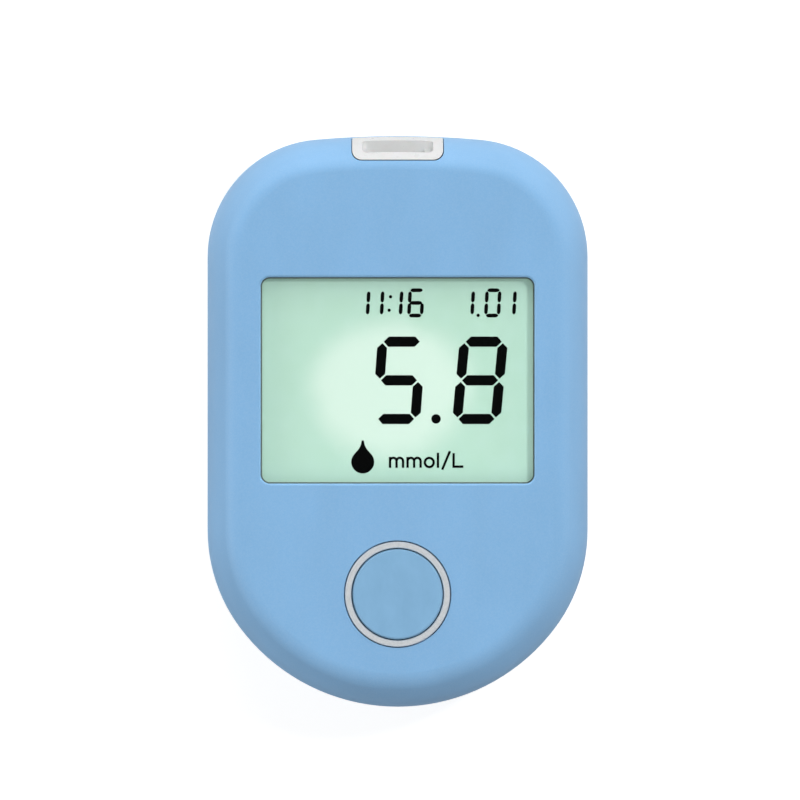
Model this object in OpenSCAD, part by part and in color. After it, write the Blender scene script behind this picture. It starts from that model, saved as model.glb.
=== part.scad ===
// Handheld blood glucose meter, lying on its back.
// +Z comes out of the display, +Y points to the test strip port and X runs across.
// The origin is the middle of the rear face. Lengths are in millimetres.

/* [Housing] */
// Length over both ends
body_l = 85; // [83:0.5:92]
// Width over both sides
body_w = 56.6; // [56:0.2:64]
// Wall of both shells
wall = 1.8; // [1.6:0.1:2]
// Radius of the shallow crown at the strip port end
crown_r = 138; // [110:1:180]
// Radius of the two corners beside the crown
corner_r = 17.5; // [16:0.5:18.5]
// Length by which the button end's radius exceeds half of the width
end_extra = 1; // [0.6:0.1:1.6]
// Radius of the flanks that lead from the sides into the button end
flank_r = 24.3; // [22:0.1:25.5]
// Radius of the long side curve in section, front shell
front_side_r = 15; // [13:0.5:17]
// Radius of the long side curve in section, rear shell
rear_side_r = 12; // [10:0.5:13]
// Tilt at which a side curve turns into the edge rounding
side_tilt = 35; // [31:1:38]
// Radius of the edge rounding
edge_r = 3; // [2.5:0.1:3.4]
// Straight band of the front shell beside the parting line
front_band = 0.6; // [0.4:0.1:1]
// Height of the tongue on the front shell's rim
tongue_h = 1.2; // [0.8:0.1:1.6]
// Thickness of that tongue
tongue_t = 0.8; // [0.6:0.1:0.9]
// Width and height of the groove that shows as the parting line
seam = 0.2; // [0.1:0.05:0.3]

/* [Display] */
// Distance from each side of the body to the window
window_side = 8; // [7.6:0.1:9.4]
// Distance from the strip port end to the window
window_top = 21.1; // [20.6:0.1:24]
// Distance from the button end to the window
window_low = 33.3; // [32.8:0.1:36]
// Radius of the window's corners
window_r = 1.35; // [0.8:0.05:3]
// Bevel round the window's outer edge
window_bevel = 0.25; // [0.1:0.05:0.4]
// Thickness of the ledge that holds the lens
ledge_t = 0.9; // [0.8:0.1:1.2]
// Width of the ledge all round
ledge_w = 1.6; // [1.2:0.1:1.8]
// Thickness of the adhesive tape on the lens
tape_t = 0.1; // [0.1:0.05:0.2]
// Thickness of the lens
lens_t = 0.8; // [0.6:0.1:1]
// Thickness of the foam gasket
gasket_t = 0.3; // [0.2:0.1:0.5]
// Thickness of each polarising film
film_t = 0.2; // [0.15:0.05:0.3]
// Thickness of each display glass
glass_t = 0.55; // [0.4:0.05:0.7]
// Width of glass beyond the window at each side
glass_side = 2.1; // [1.6:0.1:2.2]
// Length of glass beyond the window at the port end
glass_top = 1.9; // [1.5:0.1:2]
// Length of glass beyond the window at the button end
glass_end = 4.1; // [3.8:0.1:4.5]
// Length of the contact ledge on the front glass
contact_ledge = 2.6; // [2.4:0.1:2.9]
// Thickness of the light guide
guide_t = 1.6; // [1.2:0.1:1.8]
// Thickness of the reflector sheet
reflector_t = 0.15; // [0.1:0.05:0.25]
// Wall of the display frame
frame_wall = 0.9; // [0.7:0.1:1]
// Floor of the display frame
frame_floor = 0.65; // [0.5:0.05:0.8]

/* [Button] */
// Centre of the button, measured from the button end
button_end = 16.9; // [16:0.1:18]
// Outer radius of the bezel ring
ring_r = 7.8; // [7:0.1:8.2]
// Width of the bezel ring, seen from the front
ring_w = 0.95; // [0.8:0.05:1.2]
// Height of the ring above the front face
ring_rise = 0.15; // [0:0.05:0.3]
// Thickness of the ledge under the ring
ring_ledge = 0.7; // [0.5:0.1:0.9]
// Height of the cap above the front face
cap_rise = 0.1; // [0:0.05:0.3]
// Thickness of the cap's top
cap_skin = 1.2; // [1:0.1:1.4]
// Wall of the cap's skirt
cap_wall = 1; // [0.8:0.1:1.2]
// Width of the flange that keeps the cap in
cap_flange = 0.9; // [0.7:0.1:1.1]
// Travel of the cap
press_travel = 0.4; // [0.2:0.05:0.5]
// Side of the tactile switch
switch_w = 6.2; // [5.8:0.1:6.6]
// Height of the tactile switch
switch_h = 3.4; // [3:0.1:3.6]
// Radius of the switch's plunger
plunger_r = 1.7; // [1.4:0.1:2]

/* [Strip port] */
// Width of the collar
collar_w = 13.5; // [12.6:0.1:14.5]
// Length of the collar on the front face
collar_l = 3.7; // [3.4:0.1:4]
// Height of the collar below the front face
collar_h = 7.2; // [6.8:0.1:7.6]
// Radius of the collar's corners, seen from the front
collar_r = 1.45; // [1:0.05:2]
// Radius of the collar's lower corners, seen from the end
collar_low_r = 0.6; // [0.4:0.1:1]
// Width of the mouth
mouth_w = 10.5; // [9.8:0.1:11]
// Height of the mouth
mouth_h = 3.6; // [3.2:0.1:3.8]
// Front lip above the mouth
mouth_lip = 1.4; // [1.2:0.1:1.6]
// Radius of the mouth's corners
mouth_r = 0.8; // [0.5:0.1:1.2]
// Width of the strip slot
slot_w = 7.9; // [7.4:0.1:8.4]
// Height of the strip slot
slot_h = 1.1; // [0.9:0.1:1.3]

/* [Batteries] */
// Diameter of one cell
cell_d = 10.5; // [10.1:0.1:10.5]
// Length of one cell with its nub
cell_l = 44.5; // [43.3:0.1:44.9]
// Space between the two cells
cell_gap = 0.5; // [0.3:0.1:0.8]
// Clearance round the cells in their bay
cell_clear = 0.3; // [0.2:0.05:0.35]
// Wall of the battery bay
bay_wall = 1.2; // [1:0.1:1.4]
// Roof of the battery bay
roof_t = 1; // [0.8:0.1:1.1]
// Distance from the button end to the bay
bay_margin = 9.3; // [8.8:0.1:10.5]
// Thickness of the contact plates
plate_t = 0.3; // [0.2:0.05:0.4]
// Height of the dimple that meets a cell's nub
dimple_h = 0.6; // [0.4:0.1:0.8]
// Working length of the contact springs
spring_l = 3.6; // [3.2:0.1:4.2]
// Wire diameter of the contact springs
wire_d = 0.45; // [0.35:0.05:0.5]
// Turns of each contact spring
spring_turns = 3.5; // [3:0.5:4]
// Thickness of the battery door
door_t = 1.6; // [1.5:0.05:1.7]
// Width of the battery door
door_w = 26; // [25:0.1:26.6]
// Width of the tongues that run in the rails
door_tongue = 1; // [0.8:0.1:1.2]
// Length of the door beyond the bay at the port end
door_over = 2; // [1.6:0.1:3]

/* [Board and screws] */
// Thickness of the circuit board
board_t = 1; // [0.8:0.1:1.2]
// Space between the battery bay's roof and the board
board_gap = 0.3; // [0.2:0.1:1.5]
// Distance from the body's outline to the board's edge
board_inset = 3.2; // [3:0.1:3.6]
// Radius of the bosses for the case screws
boss_r = 2.7; // [2.4:0.1:2.8]
// Diameter of the case screws
case_screw_d = 2; // [1.8:0.1:2.3]
// Length of the case screws under the head
case_screw_l = 10; // [8:0.5:11]
// Diameter of the board screws
board_screw_d = 1.6; // [1.4:0.1:1.8]
// Length of the board screws under the head
board_screw_l = 4; // [3:0.5:4.5]
// Running clearance between parts that fit together
fit = 0.15; // [0.1:0.01:0.18]

/* [Hidden] */
$fn = 72;

blue = "#86b5dc";
white = "#f2f2f0";
steel = "#c3c8cc";
board_green = "#2f6b45";
black = "#26282b";

// Heights of the board and the front face, from the door up
board_z = door_t + cell_d + 2 * cell_clear + roof_t + board_gap;
board_top_z = board_z + board_t;
display_h = frame_floor + reflector_t + guide_t + 2 * film_t + 2 * glass_t + gasket_t;
body_t = board_top_z + display_h + lens_t + tape_t + ledge_t;

// Outline of the body: four tangent arcs a side, from crown to button end
half_l = body_l / 2;
half_w = body_w / 2;
crown_y = half_l - crown_r;
corner_x = half_w - corner_r;
crown_a = asin(corner_x / (crown_r - corner_r));
corner_y = crown_y + (crown_r - corner_r) * cos(crown_a);
end_r = half_w + end_extra;
end_y = end_r - half_l;
flank_x = half_w - flank_r;
end_a = asin(flank_x / (end_r - flank_r));
flank_y = end_y - (end_r - flank_r) * cos(end_a);
corner = [corner_x, corner_y];
flank = [flank_x, flank_y];
crown_dir = [sin(crown_a), cos(crown_a)];
end_dir = [sin(end_a), -cos(end_a)];
reach = 2 * end_r;
side_part = 0.6 * (corner_y - flank_y);
crown_facets = 4 * $fn;

// Heights of the two shells
front_h = front_band + front_side_r * sin(side_tilt) + edge_r * (1 - sin(side_tilt));
parting_z = body_t - front_h;
rear_curve_h = rear_side_r * sin(side_tilt) + edge_r * (1 - sin(side_tilt));
rear_band = parting_z - rear_curve_h;
edge_depth = (front_side_r - edge_r) * (1 - cos(side_tilt)) + edge_r;
plate_overlap = 1;
ring_depth = edge_depth + 2 * plate_overlap;
inner_z = body_t - wall;
touch_gap = 0.1;
through = 1;

// Display stack, from the front face down to the board
tape_z = body_t - ledge_t - tape_t;
lens_z = tape_z - lens_t;
gasket_z = lens_z - gasket_t;
front_film_z = gasket_z - film_t;
front_glass_z = front_film_z - glass_t;
rear_glass_z = front_glass_z - glass_t;
rear_film_z = rear_glass_z - film_t;
guide_z = rear_film_z - guide_t;
reflector_z = guide_z - reflector_t;

window_w = body_w - 2 * window_side;
window_l = body_l - window_top - window_low;
window_y = (window_low - window_top) / 2;
lens_w = window_w + 2 * ledge_w;
lens_l = window_l + 2 * ledge_w;
film_rim = 1.2;
gasket_rim = 0.5;
glass_w = window_w + 2 * glass_side;
glass_l = window_l + glass_top + glass_end;
glass_y = window_y + (glass_top - glass_end) / 2;
glass_low_y = glass_y - glass_l / 2;
glass_high_y = glass_y + glass_l / 2;
rear_glass_l = glass_l - contact_ledge;
rear_glass_y = glass_y + contact_ledge / 2;
guide_w = glass_w - 2 * frame_wall;
guide_l = rear_glass_l - 2 * frame_wall;
frame_w = glass_w + 2 * (touch_gap + frame_wall);
frame_l = glass_l + 2 * (touch_gap + frame_wall);
zebra_t = 2;
zebra_y = glass_low_y + zebra_t / 2 + 2 * touch_gap;
zebra_side = 1;
zebra_w = window_w - 2 * zebra_side;
led_size = [3, 1, 1.2];
led_x = 9;
guide_high_y = rear_glass_y + guide_l / 2;
led_y = guide_high_y + touch_gap + led_size.y / 2;
peg_r = 0.75;
peg_places = [
    [frame_w / 2 - 1.6, glass_high_y - 0.6],
    [frame_w / 2 - 1.6, glass_low_y + 0.6]
];

// Button and switch
button_y = button_end - half_l;
ring_seat_z = inner_z + ring_ledge;
ring_inner_r = ring_r - ring_w;
cap_r = ring_inner_r - fit;
cap_top_z = body_t + cap_rise;
flange_top_z = inner_z - fit;
flange_t = 0.6;
flange_z = flange_top_z - flange_t;
switch_top_z = board_top_z + switch_h;
plunger_rise = press_travel + 0.3;
plunger_top_z = switch_top_z + plunger_rise;
plunger_deep = 1.1;
cap_bevel = 0.2;

// Strip port
collar_back_y = half_l - collar_l;
collar_z = body_t - collar_h;
mouth_top_z = body_t - mouth_lip;
mouth_z = mouth_top_z - mouth_h;
slot_z = mouth_z + 0.25;
mouth_back_y = collar_back_y + 0.9;
neck_w = collar_w - 2 * collar_r;
wing_t = 1.2;
wing_y = collar_back_y - 1 - wing_t;
wing_side = 1.75;
wing_top_z = inner_z - 0.7;
wing_z = board_top_z - 0.8;
shoulder_l = 0.7;
shoulder_h = mouth_h / 2;
connector_w = 12;
connector_l = 9;
connector_y = wing_y - touch_gap - connector_l;
connector_roof = 1.05;
connector_back = 1;
connector_h = slot_z + slot_h + connector_roof - board_top_z;
contact_w = 0.5;
contact_t = 0.2;
contact_foot = 1.2;
contact_arm = 0.35;
contact_pitch = 1.8;
contact_count = 4;

// Battery bay
cell_x = (cell_d + cell_gap) / 2;
cell_z = door_t + cell_clear + cell_d / 2;
bay_half_w = cell_d + cell_gap / 2 + cell_clear;
bay_z = cell_z + cell_d / 2 + cell_clear;
bay_low_y = bay_margin - half_l;
bay_l = 2 * plate_t + dimple_h + cell_l + spring_l;
bay_high_y = bay_low_y + bay_l;
nub_l = 1;
nub_r = 1.9;
lead_w = 2;
plate_h = 8;
spring_base_r = 3.3;
spring_tip_r = 1.9;

// Battery door and its rails
tongue_z = door_t - 0.7;
door_half_w = door_w / 2;
rail_wall = 0.9;
rail_half_w = door_half_w + door_tongue + fit + rail_wall;
rail_top_z = door_t + fit + 1;
door_high_y = bay_high_y + door_over;
grip_pitch = 1.7;
grip_count = 5;
grip_w = 10;
grip_r = 0.45;
arrow_w = 4.4;
arrow_l = 2.4;

// Parts on the board's rear side
chip_w = 9;
chip_h = 1.4;
chip_gap = 2.5;
chip_place = [-2, bay_high_y + bay_wall + chip_w / 2 + chip_gap];
chip_lead = [1, 0.3, 0.5];
chip_lead_pitch = 0.65;
chip_lead_count = 12;
crystal_r = 1;
crystal_l = 6;
crystal_gap = 4;
crystal_place = [chip_w, bay_high_y + bay_wall + crystal_gap];
buzzer_r = 4.5;
buzzer_h = 3;
buzzer_gap = 1.5;
buzzer_x = bay_half_w + bay_wall + buzzer_r + buzzer_gap;
component = [1.8, 1, 0.6];
component_pitch = 2.4;
component_gap = 3;
component_rows = [for (i = [1, 2]) bay_half_w + bay_wall + i * component_gap];
component_count = 6;

// Screws
boss_split_z = parting_z - 0.5;
rear_boss_r = boss_r + 0.2;
screw_seat_z = 4;
head_h = 1.4;
head_r = 1.9;
head_clear = 0.3;
bore_end = 0.5;
case_screw_top = [7.8, 15];
case_screw_low = [9.8, 20.5];
case_screw_places = [
    [half_w - case_screw_top.x, half_l - case_screw_top.y],
    [half_w - case_screw_low.x, case_screw_low.y - half_l]
];
board_boss_r = 2;
board_head_r = 1.4;
board_head_h = 1;
board_screw_top = [14.8, 13];
board_screw_low = [2.75, 12.5];
board_screw_places = [
    [half_w - board_screw_top.x, half_l - board_screw_top.y],
    [bay_half_w + bay_wall + board_screw_low.x, board_screw_low.y - half_l]
];

// A rectangle with round corners, built of cells that share straight edges
module soft_rect(w, l, r) {
    square([w - 2 * r, l], center = true);
    for (side = [-1, 1])
        translate([side * (w - r) / 2, 0]) square([r, l - 2 * r], center = true);
    for (turn_x = [0, 1], turn_y = [0, 1])
        mirror([turn_x, 0]) mirror([0, turn_y]) translate([w / 2 - r, l / 2 - r])
            intersection() {
                circle(r);
                square(r);
            }
}

// A plate with round corners, centred in plan
module soft_plate(w, l, t, r) {
    linear_extrude(t) soft_rect(w, l, r);
}

// A block centred in plan that stands on z = 0
module block(w, l, t) {
    translate([-w / 2, -l / 2, 0]) cube([w, l, t]);
}

// The children and their mirror image across the body's long axis
module both_sides() {
    for (turn = [0, 1]) mirror([turn, 0, 0]) children();
}

// The children moved in a coarse and a fine step, so that no rounding opens a
// gap between pieces that share a face
module at(place) {
    coarse = [for (v = place) round(100 * v) / 100];
    translate(coarse) translate(place - coarse) children();
}

// Cells that cut the outline where one arc runs into the next. The first two
// stand on a corner's centre and the last two on a flank's centre.
module crown_cell() {
    polygon([[-corner_x, 0], [0, 0], reach * crown_dir, [-corner_x, reach]]);
}
module corner_cell() {
    polygon([[0, 0], [reach, 0], [reach, reach], reach * crown_dir]);
}
module flank_cell() {
    polygon([[0, 0], reach * end_dir, [reach, reach * end_dir.y], [reach, 0]]);
}
module end_cell() {
    polygon([
        [-flank_x, 0], [-flank_x, -reach], [reach * end_dir.x, -reach],
        reach * end_dir, [0, 0]
    ]);
}

// The body's outline in plan, drawn in by inset
module outline(inset) {
    for (turn = [0, 1]) mirror([turn, 0]) {
        intersection() {
            at([0, crown_y]) circle(crown_r - inset, $fn = crown_facets);
            at(corner) crown_cell();
        }
        at(corner) intersection() {
            circle(corner_r - inset);
            corner_cell();
        }
        at(corner) translate([-corner_x, -side_part]) square([half_w - inset, side_part]);
        at(flank) translate([-flank_x, 0]) square([half_w - inset, side_part]);
        at(flank) intersection() {
            circle(flank_r - inset);
            flank_cell();
        }
        intersection() {
            at([0, end_y]) circle(end_r - inset);
            at(flank) end_cell();
        }
    }
}

module tall_prism() {
    translate([0, 0, -2 * body_t]) linear_extrude(4 * body_t) children();
}

// A profile swept round the body's outline. In the profile, x = 0 is the
// outline, negative x goes inwards and y is the height.
module around() {
    spare_a = 1;
    both_sides() {
        intersection() {
            at([0, crown_y, 0])
                rotate_extrude(angle = crown_a + 2 * spare_a, start = 90 - crown_a - spare_a,
                        $fn = crown_facets)
                    translate([crown_r, 0]) children();
            at([corner.x, corner.y, 0]) tall_prism() crown_cell();
        }
        at([corner.x, corner.y, 0]) {
            intersection() {
                rotate_extrude(angle = 90 - crown_a + spare_a)
                    translate([corner_r, 0]) children();
                tall_prism() corner_cell();
            }
            translate([corner_r, 0, 0]) rotate([90, 0, 0])
                linear_extrude(side_part) children();
        }
        at([flank.x, flank.y, 0]) {
            translate([flank_r, side_part, 0]) rotate([90, 0, 0])
                linear_extrude(side_part) children();
            intersection() {
                mirror([0, 1, 0]) rotate_extrude(angle = 90 - end_a + spare_a)
                    translate([flank_r, 0]) children();
                tall_prism() flank_cell();
            }
        }
        intersection() {
            at([0, end_y, 0])
                rotate_extrude(angle = end_a + 2 * spare_a, start = 270 - spare_a)
                    translate([end_r, 0]) children();
            at([flank.x, flank.y, 0]) tall_prism() end_cell();
        }
    }
}

// One half of the body's section, from the parting line at y = 0 up to the
// face: a straight band, the long side curve, the edge rounding and the face.
module half_section(long_r, band, inset, drop, depth) {
    tilt_dir = [cos(side_tilt), sin(side_tilt)];
    long_c = [-long_r, band];
    edge_c = long_c + (long_r - edge_r) * tilt_dir;
    far = 3 * edge_r;
    face_l = depth + edge_c.x;
    column_h = edge_c.y - band + band / 2;
    at(long_c) translate([long_r - depth, -band - drop])
        square([depth - inset, band + drop]);
    intersection() {
        at(long_c) circle(long_r - inset);
        at(long_c) square(2 * long_r);
        at(edge_c) polygon([[0, 0], far * tilt_dir, [far, -2 * long_r], [0, -2 * long_r]]);
    }
    at(edge_c) {
        intersection() {
            circle(edge_r - inset);
            polygon([[0, 0], far * tilt_dir, [far, far], [0, far]]);
        }
        translate([-face_l, 0]) square([face_l, edge_r - inset]);
        translate([-face_l, -column_h]) square([face_l, column_h]);
    }
}

// The rear half of the body as one solid
module rear_body() {
    at([0, 0, parting_z]) mirror([0, 0, 1])
        around() half_section(rear_side_r, rear_band, 0, 0, ring_depth);
    linear_extrude(parting_z - rear_band / 2) outline(ring_depth - plate_overlap);
}

// The front half of the body beside the crown, grown by gap
module crown_part(gap) {
    at([0, crown_y, parting_z])
        rotate_extrude(angle = 2 * crown_a, start = 90 - crown_a, $fn = crown_facets)
            translate([crown_r, 0])
                half_section(front_side_r, front_band, -gap, 0, ring_depth);
}

// The strip collar's place in plan, grown by gap
module collar_footprint(gap) {
    l = collar_l + collar_r;
    translate([0, collar_back_y - gap + l / 2 + collar_r])
        soft_rect(collar_w + 2 * gap, l + 2 * collar_r, collar_r);
}

// The strip collar's outline seen from the end, from its low edge up
module collar_end_view(gap) {
    tall = collar_h + 2 * collar_low_r + 2;
    translate([0, collar_z - gap + tall / 2])
        soft_rect(collar_w + 2 * gap, tall, collar_low_r);
}

// The space of the strip collar in the front shell, grown by gap
module collar_space(gap) {
    intersection() {
        translate([0, 0, collar_z - through])
            linear_extrude(collar_h + 2 * through) collar_footprint(gap);
        translate([0, half_l + through, 0]) rotate([90, 0, 0])
            linear_extrude(collar_l + 2 * through) collar_end_view(gap);
    }
}

module front_wall_profile() {
    difference() {
        half_section(front_side_r, front_band, 0, 0, ring_depth);
        half_section(front_side_r, front_band, wall, through, ring_depth + through);
    }
    translate([-wall, -tongue_h]) square([tongue_t, tongue_h + front_band]);
}

// A boss that hangs from the front shell's inside, bored from below
module front_boss(place, r, low_z, hole_d, hole_l) {
    translate([place.x, place.y, low_z]) difference() {
        cylinder(h = body_t - wall / 2 - low_z, r = r);
        translate([0, 0, -through]) cylinder(h = hole_l + through, d = hole_d);
    }
}

module window_bevel_cut() {
    profile = [
        [-window_bevel, -window_bevel], [0, -window_bevel], [window_bevel, 0],
        [window_bevel, through], [-window_bevel, through]
    ];
    for (turn_x = [0, 1], turn_y = [0, 1])
        mirror([turn_x, 0, 0]) mirror([0, turn_y, 0])
            translate([window_w / 2 - window_r, window_l / 2 - window_r, 0])
                rotate_extrude(angle = 90) translate([window_r, 0]) polygon(profile);
    for (turn = [0, 1]) {
        mirror([turn, 0, 0]) translate([window_w / 2, window_l / 2 - window_r, 0])
            rotate([90, 0, 0]) linear_extrude(window_l - 2 * window_r) polygon(profile);
        mirror([0, turn, 0]) translate([window_r - window_w / 2, window_l / 2, 0])
            rotate([90, 0, 90]) linear_extrude(window_w - 2 * window_r) polygon(profile);
    }
}

module front_shell() {
    color(blue) difference() {
        union() {
            at([0, 0, parting_z]) around() front_wall_profile();
            translate([0, 0, inner_z])
                linear_extrude(wall) outline(ring_depth - plate_overlap);
            both_sides() {
                for (place = case_screw_places)
                    front_boss(place, boss_r, boss_split_z, case_screw_d + touch_gap,
                        screw_seat_z + case_screw_l + bore_end - boss_split_z);
                for (place = board_screw_places)
                    front_boss(place, board_boss_r, board_top_z,
                        board_screw_d + touch_gap, board_screw_l - board_t + bore_end);
            }
        }
        translate([0, window_y, lens_z - through])
            soft_plate(lens_w + 2 * fit, lens_l + 2 * fit,
                body_t - ledge_t - lens_z + through, window_r);
        translate([0, window_y, inner_z])
            soft_plate(window_w, window_l, wall + through, window_r);
        translate([0, window_y, body_t]) window_bevel_cut();
        translate([0, button_y, inner_z - through])
            cylinder(h = wall + 2 * through, r = ring_inner_r + fit);
        translate([0, button_y, ring_seat_z])
            cylinder(h = wall + through, r = ring_r + fit);
        collar_space(touch_gap);
        translate([0, collar_back_y, parting_z])
            block(neck_w + 2 * touch_gap, 2, wing_top_z + touch_gap - parting_z);
    }
}

module rear_wall_profile() {
    difference() {
        half_section(rear_side_r, rear_band, 0, 0, ring_depth);
        half_section(rear_side_r, rear_band, wall, through, ring_depth + through);
        translate([-wall - through, -through])
            square([tongue_t + touch_gap + through, tongue_h + touch_gap + through]);
        translate([-seam, -through]) square([seam + through, seam + through]);
    }
}

// The door's section across the body: a plate with a tongue at each side
module door_section(gap) {
    translate([-door_half_w - gap, -gap])
        square([2 * (door_half_w + gap), door_t + 2 * gap]);
    translate([-door_half_w - door_tongue - gap, tongue_z - gap])
        square([2 * (door_half_w + door_tongue + gap), door_t - tongue_z + 2 * gap]);
}

// The door's section drawn along the body from beyond the button end
module door_run(gap, high_y) {
    translate([0, high_y, 0]) rotate([90, 0, 0])
        linear_extrude(high_y + half_l + through) door_section(gap);
}

// Slot in the bay's roof for a contact's lead
module lead_slot(x) {
    translate([x, bay_high_y, bay_z + roof_t / 2])
        cube([lead_w + 2 * fit, 2 * (plate_t + fit), roof_t + through], center = true);
}

module rear_shell() {
    bay_centre_y = (bay_low_y + bay_high_y) / 2;
    color(blue) difference() {
        union() {
            at([0, 0, parting_z]) mirror([0, 0, 1]) around() rear_wall_profile();
            linear_extrude(wall) outline(ring_depth - plate_overlap);
            translate([0, bay_centre_y, wall / 2])
                soft_plate(2 * (bay_half_w + bay_wall), bay_l + 2 * bay_wall,
                    bay_z + roof_t - wall / 2, bay_wall);
            translate([0, bay_centre_y, wall / 2])
                block(2 * rail_half_w, bay_l + 2 * (door_over + rail_wall),
                    rail_top_z - wall / 2);
            both_sides() for (place = case_screw_places)
                translate([place.x, place.y, wall / 2])
                    cylinder(h = boss_split_z - touch_gap - wall / 2, r = rear_boss_r);
        }
        translate([0, bay_centre_y, -through])
            block(2 * bay_half_w, bay_l, bay_z + through);
        door_run(fit, door_high_y + fit);
        both_sides() for (place = case_screw_places) translate([place.x, place.y, 0]) {
            translate([0, 0, -through])
                cylinder(h = screw_seat_z + through, r = head_r + head_clear);
            cylinder(h = parting_z, d = case_screw_d + 2 * head_clear);
        }
        lead_slot(cell_x);
        lead_slot(-cell_x);
    }
}

module battery_door() {
    grip_y = bay_high_y - grip_count * grip_pitch;
    color(blue) difference() {
        intersection() {
            rear_body();
            door_run(0, door_high_y);
        }
        for (i = [0 : grip_count - 1])
            translate([-grip_w / 2, grip_y + i * grip_pitch, 0]) rotate([0, 90, 0])
                cylinder(h = grip_w, r = grip_r);
        translate([0, grip_y - 2 * grip_pitch, -through])
            linear_extrude(through + grip_r)
                polygon([[-arrow_w / 2, 0], [arrow_w / 2, 0], [0, -arrow_l]]);
    }
}

// A pan-head screw that points up, its seat at z = 0, with a cross recess
module screw(d, l, head_radius, head_height) {
    cross_w = d * 0.28;
    difference() {
        union() {
            cylinder(h = l, d = d);
            translate([0, 0, -head_height]) cylinder(h = head_height, r = head_radius);
        }
        for (turn = [0, 90]) rotate(turn)
            translate([0, 0, -head_height - through])
                block(1.2 * head_radius, cross_w, through + head_height / 2);
    }
}

module case_screws() {
    color(steel) both_sides() for (place = case_screw_places)
        translate([place.x, place.y, screw_seat_z])
            screw(case_screw_d, case_screw_l, head_r, head_h);
}

module window_lens() {
    color("#dfeee8", 0.4) translate([0, window_y, lens_z])
        soft_plate(lens_w, lens_l, lens_t, window_r);
}

module lens_tape() {
    color(black) translate([0, window_y, tape_z]) difference() {
        soft_plate(lens_w, lens_l, tape_t, window_r);
        translate([0, 0, -through])
            soft_plate(window_w + 2 * touch_gap, window_l + 2 * touch_gap,
                tape_t + 2 * through, window_r);
    }
}

module display_gasket() {
    color(black) translate([0, window_y, gasket_z]) difference() {
        soft_plate(window_w + 2 * film_rim, window_l + 2 * film_rim, gasket_t, window_r);
        translate([0, 0, -through])
            soft_plate(window_w + 2 * gasket_rim, window_l + 2 * gasket_rim,
                gasket_t + 2 * through, window_r);
    }
}

module front_polariser() {
    color("#b8dfca") translate([0, window_y, front_film_z])
        block(window_w + 2 * film_rim, window_l + 2 * film_rim, film_t);
}

module front_glass() {
    color("#c9dcd6", 0.6) translate([0, glass_y, front_glass_z])
        block(glass_w, glass_l, glass_t);
}

module rear_glass() {
    color("#c2d6d0", 0.6) translate([0, rear_glass_y, rear_glass_z])
        block(glass_w, rear_glass_l, glass_t);
}

module rear_polariser() {
    color("#9fb8ab") translate([0, rear_glass_y, rear_film_z])
        block(guide_w, guide_l, film_t);
}

module light_guide() {
    color("#e8fff4") translate([0, rear_glass_y, guide_z])
        block(guide_w, guide_l, guide_t);
}

module reflector_sheet() {
    color("white") translate([0, rear_glass_y, reflector_z])
        block(guide_w, guide_l, reflector_t);
}

module backlight_leds() {
    color("#fff7c8") both_sides() translate([led_x, led_y, reflector_z])
        block(led_size.x, led_size.y, led_size.z);
}

module display_frame() {
    color(white) difference() {
        union() {
            translate([0, glass_y, board_top_z])
                soft_plate(frame_w, frame_l, front_film_z - board_top_z, frame_wall);
            both_sides() for (place = peg_places)
                translate([place.x, place.y, board_z]) cylinder(h = board_t + 0.2, r = peg_r);
        }
        translate([0, glass_y, rear_glass_z])
            block(glass_w + 2 * touch_gap, glass_l + 2 * touch_gap, 3 * glass_t);
        translate([0, rear_glass_y, reflector_z])
            block(guide_w + 2 * touch_gap, guide_l + 2 * touch_gap, 2 * guide_t);
        translate([0, zebra_y, board_top_z - through])
            block(zebra_w + 2 * touch_gap, zebra_t + 2 * touch_gap, 5 * glass_t + guide_t);
        both_sides() translate([led_x, led_y, reflector_z])
            block(led_size.x + 2 * touch_gap, led_size.y + 2 * touch_gap, 2 * guide_t);
    }
}

module zebra_strip() {
    color("#c9b9a4") translate([0, zebra_y, board_top_z])
        block(zebra_w, zebra_t, front_glass_z - board_top_z);
}

module button_ring() {
    edge = ring_w / 6;
    color(steel) translate([0, button_y, 0]) rotate_extrude() polygon([
        [ring_inner_r, ring_seat_z], [ring_r, ring_seat_z],
        [ring_r, body_t + ring_rise - edge], [ring_r - edge, body_t + ring_rise],
        [ring_inner_r + edge, body_t + ring_rise], [ring_inner_r, body_t + ring_rise - edge]
    ]);
}

module button_cap() {
    skin_z = cap_top_z - cap_skin;
    color(blue) translate([0, button_y, 0]) {
        rotate_extrude() polygon([
            [cap_r - cap_wall, flange_z], [cap_r + cap_flange, flange_z],
            [cap_r + cap_flange, flange_top_z], [cap_r, flange_top_z],
            [cap_r, cap_top_z - cap_bevel], [cap_r - cap_bevel, cap_top_z],
            [0, cap_top_z], [0, skin_z], [cap_r - cap_wall, skin_z]
        ]);
        translate([0, 0, plunger_top_z])
            cylinder(h = skin_z - plunger_top_z + cap_skin / 2, r = plunger_r);
    }
}

module switch_plunger() {
    color(black) translate([0, button_y, switch_top_z - plunger_deep])
        cylinder(h = plunger_rise + plunger_deep, r = plunger_r);
}

module tact_switch() {
    leg = [0.7, 0.9, 0.25];
    color("#3a3c40") translate([0, button_y, board_top_z]) {
        difference() {
            soft_plate(switch_w, switch_w, switch_h, 0.6);
            translate([0, 0, switch_h - plunger_deep - press_travel - 2 * touch_gap])
                cylinder(h = switch_h, r = plunger_r + fit);
        }
        both_sides() for (side = [-1, 1])
            translate([switch_w / 2 + leg.x / 2 - touch_gap, side * switch_w / 3, 0])
                block(leg.x, leg.y, leg.z);
    }
}

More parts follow.
